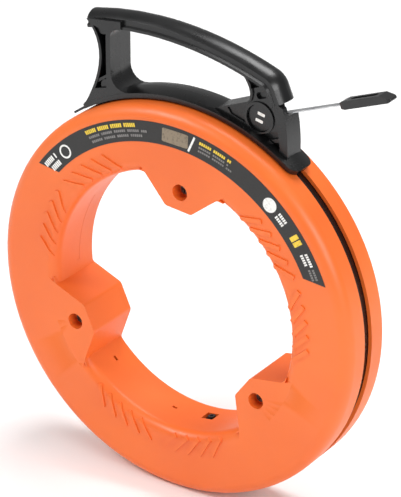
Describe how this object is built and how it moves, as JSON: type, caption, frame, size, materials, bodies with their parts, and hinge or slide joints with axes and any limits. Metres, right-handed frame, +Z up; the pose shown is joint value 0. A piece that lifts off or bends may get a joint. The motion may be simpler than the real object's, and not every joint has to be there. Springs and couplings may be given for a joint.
{
  "type": "fish tape reel",
  "caption": "Hand-held reel of flat spring-steel fish tape: a moulded reel turns in a slotted rim band under a bridge handle that guides the tape out to a slotted tip.",
  "frame": {"origin": "centre of the hand opening on the reel's axis, in the middle of the rim slot", "axes": "+Y along the reel's axis toward the rear face, +Z up toward the handle, +X toward the tape's exit"},
  "size_m": [0.3181, 0.0477, 0.3612],
  "materials": {
    "orange_plastic": "satin",
    "black_plastic": "satin",
    "spring_steel": "satin",
    "dark_screws": "satin",
    "zinc_hardware": "satin",
    "label_print": "satin",
    "badge_print": "satin"
  },
  "bodies": {
    "handle": {"handle_front_half": "black_plastic", "handle_rear_half": "black_plastic", "handle_screws": "dark_screws", "handle_badge": "badge_print", "guide_band": "black_plastic"},
    "reel": {"front_shell": "orange_plastic", "rear_shell": "orange_plastic", "shell_screws": "dark_screws", "front_label": "label_print", "tape_coil": "spring_steel", "tape_anchor": "zinc_hardware", "anchor_screw": "zinc_hardware"},
    "tape": {"tape_lead": "spring_steel", "tape_tip": "black_plastic", "tip_rivet": "zinc_hardware"}
  },
  "joints": [
    {"name": "reel_spin", "type": "hinge", "parent": "handle", "child": "reel", "pos_m": [0, 0, 0], "axis": [0, 1, 0], "range_deg": [-18.9, 71]},
    {"name": "tape_feed", "type": "slide", "parent": "handle", "child": "tape", "axis": [0.9336, 0, 0.3584], "range_m": [-0.04, 0.15]}
  ],
  "couplings": [
    {"joint": "tape_feed", "follows": "reel_spin", "m_per_rad": 0.121}
  ]
}
